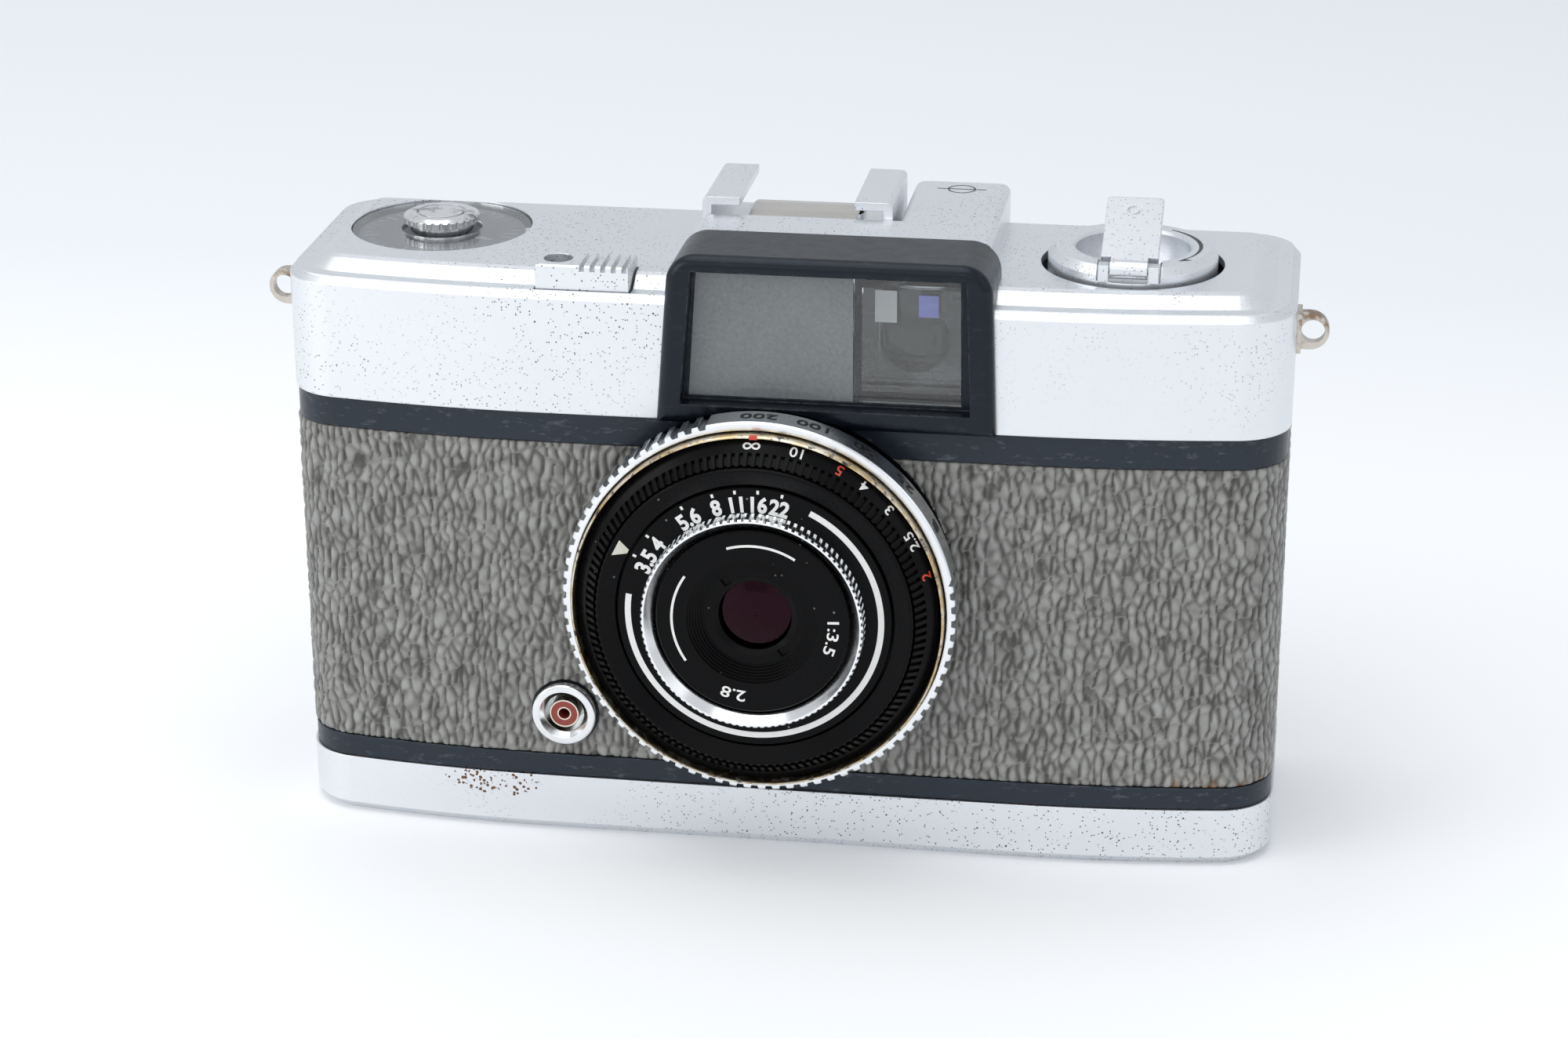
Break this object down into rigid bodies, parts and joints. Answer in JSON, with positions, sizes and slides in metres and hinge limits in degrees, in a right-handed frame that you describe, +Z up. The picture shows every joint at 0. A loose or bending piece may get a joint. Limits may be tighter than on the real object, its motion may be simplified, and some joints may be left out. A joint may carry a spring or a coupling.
{
  "type": "half frame camera",
  "caption": "Compact half frame film camera with a ring-set lens shutter, bright-frame finder, accessory shoe, rewind crank and a back that slides off downwards.",
  "frame": {"origin": "middle of the base cover's underside, below the middle of the body", "axes": "+X to the right seen from the lens side, -Y out of the lens, +Z up"},
  "size_m": [0.1148, 0.0451, 0.0705],
  "materials": {
    "satin_silver": "satin, finely pitted",
    "chrome_bright": "polished",
    "steel_sheet": "brushed",
    "dark_paint": "semi-gloss, scuffed",
    "black_paint": "satin black",
    "leatherette": "pebbled",
    "window_glass": "clear",
    "frosted_glass": "frosted",
    "lens_glass": "coated",
    "counter_glass": "glossy",
    "dial_grey": "satin",
    "cast_alloy": "black anodised casting",
    "mirror_glass": "silvered",
    "worn_brass": "black paint worn to brass",
    "brass_part": "machined",
    "socket_red": "fibre",
    "black_plastic": "moulded",
    "spring_steel": "bright",
    "tarnished_steel": "slightly rusted"
  },
  "bodies": {
    "camera_body": {"accessory_shoe": "satin_silver", "chassis": "cast_alloy", "counter_window": "counter_glass", "eyepiece_lens": "window_glass", "eyepiece_ring": "black_paint", "finder_mirrors": "mirror_glass", "front_covering": "leatherette", "front_shell": "dark_paint", "illumination_window": "frosted_glass", "index_ring": "worn_brass", "objective_lens": "window_glass", "rewind_bush": "brass_part", "shoe_screws": "chrome_bright", "shoe_spring_plate": "spring_steel", "shutter_housing": "black_paint", "strap_lugs": "tarnished_steel", "sync_insulator": "socket_red", "sync_socket_shell": "chrome_bright", "top_cover": "satin_silver", "viewfinder_bezel": "dark_paint", "viewfinder_housing": "black_paint", "viewfinder_window": "window_glass"},
    "back_unit": {"base_cover": "satin_silver", "back_cover": "dark_paint", "back_covering": "leatherette", "pressure_plate": "black_paint", "pressure_spring": "spring_steel", "tripod_bush": "chrome_bright"},
    "lock_key": {"lock_key": "steel_sheet"},
    "lock_key_grip": {"lock_key_grip": "steel_sheet"},
    "wind_wheel": {"wind_wheel": "satin_silver"},
    "take_up": {"take_up_spool": "black_plastic", "spool_gear_shaft": "brass_part"},
    "sprocket": {"film_sprocket": "black_paint", "sprocket_gear_shaft": "brass_part"},
    "counter": {"counter_dial": "dial_grey", "counter_knob": "chrome_bright"},
    "release_button": {"release_button": "satin_silver", "release_spring": "spring_steel"},
    "rewind_lift": {"rewind_clip": "spring_steel"},
    "rewind_knob": {"rewind_knob": "satin_silver", "rewind_shaft": "spring_steel"},
    "rewind_crank": {"rewind_crank": "satin_silver"},
    "rewind_release": {"rewind_release_button": "chrome_bright"},
    "speed_ring": {"speed_ring": "satin_silver"},
    "lens_head": {"lens_barrel": "black_paint", "index_dish": "black_paint", "name_ring": "black_paint", "front_lens": "lens_glass", "rear_lenses": "lens_glass"},
    "focus_ring": {"focus_ring": "black_paint"},
    "aperture_ring": {"aperture_ring": "black_paint", "aperture_grip_ring": "chrome_bright"},
    "shutter_left": {"shutter_blade_left": "spring_steel"},
    "shutter_right": {"shutter_blade_right": "spring_steel"},
    "aperture_blade_1": {"aperture_blade_1": "spring_steel"},
    "aperture_blade_2": {"aperture_blade_2": "spring_steel"},
    "aperture_blade_3": {"aperture_blade_3": "spring_steel"},
    "aperture_blade_4": {"aperture_blade_4": "spring_steel"},
    "aperture_blade_5": {"aperture_blade_5": "spring_steel"}
  },
  "joints": [
    {"name": "back_removal", "type": "slide", "parent": "camera_body", "child": "back_unit", "axis": [0, 0, -1], "range_m": [0, 0.066]},
    {"name": "lock_key_turn", "type": "hinge", "parent": "back_unit", "child": "lock_key", "pos_m": [0.03, 0.0005, 0], "axis": [0, 0, -1], "range_deg": [0, 90]},
    {"name": "lock_grip_fold", "type": "hinge", "parent": "lock_key", "child": "lock_key_grip", "pos_m": [0.03, 0.0005, 0.00066], "axis": [-1, 0, 0], "range_deg": [0, 90]},
    {"name": "wind_turn", "type": "hinge", "parent": "camera_body", "child": "wind_wheel", "pos_m": [-0.031, 0.0046, 0.055], "axis": [0, 0, 1], "continuous": true},
    {"name": "take_up_turn", "type": "hinge", "parent": "camera_body", "child": "take_up", "pos_m": [-0.0388, -0.00082, 0.03], "axis": [0, 0, 1], "continuous": true},
    {"name": "sprocket_turn", "type": "hinge", "parent": "camera_body", "child": "sprocket", "pos_m": [-0.01952, 0.0052, 0.03], "axis": [0, 0, 1], "continuous": true},
    {"name": "counter_turn", "type": "hinge", "parent": "camera_body", "child": "counter", "pos_m": [-0.03982, 0.00247, 0.063], "axis": [0, 0, 1], "continuous": true},
    {"name": "release_press", "type": "slide", "parent": "camera_body", "child": "release_button", "axis": [0, 0, -1], "range_m": [0, 0.0015], "stiffness_N_per_m": 900, "springref_m": -0.0006, "deforming": ["release_spring"]},
    {"name": "rewind_pull", "type": "slide", "parent": "camera_body", "child": "rewind_lift", "axis": [0, 0, 1], "range_m": [0, 0.0055]},
    {"name": "rewind_turn", "type": "hinge", "parent": "rewind_lift", "child": "rewind_knob", "pos_m": [0.03638, -0.0008, 0.06], "axis": [0, 0, 1], "continuous": true},
    {"name": "crank_fold", "type": "hinge", "parent": "rewind_knob", "child": "rewind_crank", "pos_m": [0.03638, -0.0087, 0.06575], "axis": [1, 0, 0], "range_deg": [-20, 140]},
    {"name": "rewind_release_press", "type": "slide", "parent": "camera_body", "child": "rewind_release", "axis": [0, 0, 1], "range_m": [0, 0.0012], "stiffness_N_per_m": 400, "springref_m": -0.0005},
    {"name": "speed_turn", "type": "hinge", "parent": "camera_body", "child": "speed_ring", "pos_m": [-0.0008, -0.021, 0.0309], "axis": [0, -1, 0], "range_deg": [0, 64]},
    {"name": "focus_extend", "type": "slide", "parent": "camera_body", "child": "lens_head", "axis": [0, -1, 0], "range_m": [0, 0.0014]},
    {"name": "focus_turn", "type": "hinge", "parent": "lens_head", "child": "focus_ring", "pos_m": [-0.0008, -0.023, 0.0309], "axis": [0, -1, 0], "range_deg": [0, 110.5]},
    {"name": "aperture_turn", "type": "hinge", "parent": "lens_head", "child": "aperture_ring", "pos_m": [-0.0008, -0.024, 0.0309], "axis": [0, -1, 0], "range_deg": [0, 77]},
    {"name": "shutter_open_left", "type": "hinge", "parent": "camera_body", "child": "shutter_left", "pos_m": [-0.0023, -0.0091, 0.0431], "axis": [0, -1, 0], "range_deg": [-34, 0]},
    {"name": "shutter_open_right", "type": "hinge", "parent": "camera_body", "child": "shutter_right", "pos_m": [0.0007, -0.0095, 0.0431], "axis": [0, -1, 0], "range_deg": [0, 34]},
    {"name": "aperture_blade_1_swing", "type": "hinge", "parent": "lens_head", "child": "aperture_blade_1", "pos_m": [0.00454, -0.0172, 0.03478], "axis": [0, -1, 0], "range_deg": [0, 38.5]},
    {"name": "aperture_blade_2_swing", "type": "hinge", "parent": "lens_head", "child": "aperture_blade_2", "pos_m": [-0.00284, -0.01752, 0.03718], "axis": [0, -1, 0], "range_deg": [0, 38.5]},
    {"name": "aperture_blade_3_swing", "type": "hinge", "parent": "lens_head", "child": "aperture_blade_3", "pos_m": [-0.0074, -0.01784, 0.0309], "axis": [0, -1, 0], "range_deg": [0, 38.5]},
    {"name": "aperture_blade_4_swing", "type": "hinge", "parent": "lens_head", "child": "aperture_blade_4", "pos_m": [-0.00284, -0.01816, 0.02462], "axis": [0, -1, 0], "range_deg": [0, 38.5]},
    {"name": "aperture_blade_5_swing", "type": "hinge", "parent": "lens_head", "child": "aperture_blade_5", "pos_m": [0.00454, -0.01848, 0.02702], "axis": [0, -1, 0], "range_deg": [0, 38.5]}
  ],
  "couplings": [
    {"joint": "take_up_turn", "follows": "wind_turn", "ratio": -1.1111},
    {"joint": "sprocket_turn", "follows": "wind_turn", "ratio": -0.76923},
    {"joint": "focus_turn", "follows": "focus_extend", "rad_per_m": 1371.3},
    {"joint": "shutter_open_right", "follows": "shutter_open_left", "ratio": -1},
    {"joint": "aperture_blade_1_swing", "follows": "aperture_turn", "ratio": 0.5},
    {"joint": "aperture_blade_2_swing", "follows": "aperture_turn", "ratio": 0.5},
    {"joint": "aperture_blade_3_swing", "follows": "aperture_turn", "ratio": 0.5},
    {"joint": "aperture_blade_4_swing", "follows": "aperture_turn", "ratio": 0.5},
    {"joint": "aperture_blade_5_swing", "follows": "aperture_turn", "ratio": 0.5}
  ]
}
